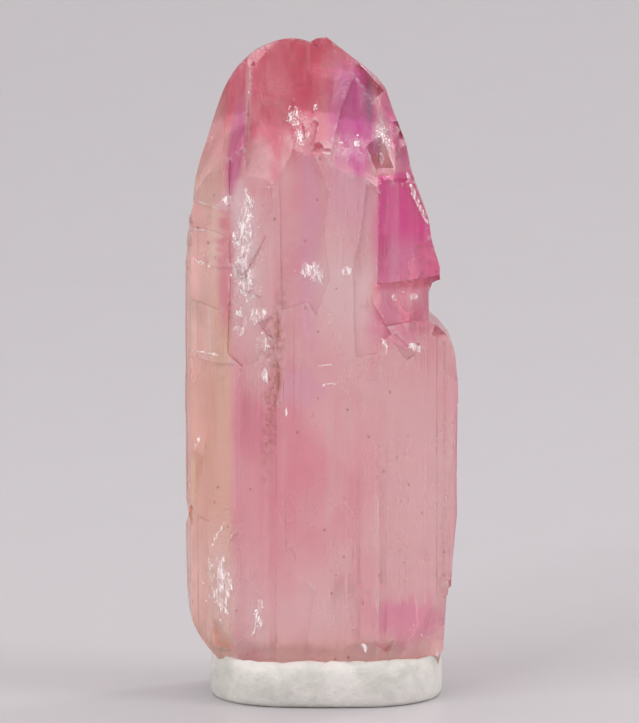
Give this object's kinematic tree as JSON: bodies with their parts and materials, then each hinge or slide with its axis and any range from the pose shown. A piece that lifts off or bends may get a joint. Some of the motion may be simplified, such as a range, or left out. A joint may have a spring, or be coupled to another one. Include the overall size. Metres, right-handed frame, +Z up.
{
  "type": "rough tanzanite crystal on putty",
  "caption": "Rough pink tanzanite (zoisite) crystal with striated flat sides, a domed head and a broken shoulder, standing upright in a pressed pad of white display putty.",
  "frame": {"origin": "centre of the specimen's footprint, on the flat underside of the putty pad", "axes": "+Z up along the crystal's length; -Y is the broad striated side that is shown; +X is the side with the broken notch"},
  "size_m": [0.0104, 0.008, 0.0253],
  "materials": {
    "pink_zoisite": "glassy, striated",
    "white_putty": "matt, soft"
  },
  "bodies": {
    "root": {"crystal": "pink_zoisite", "putty_pad": "white_putty"}
  },
  "joints": []
}
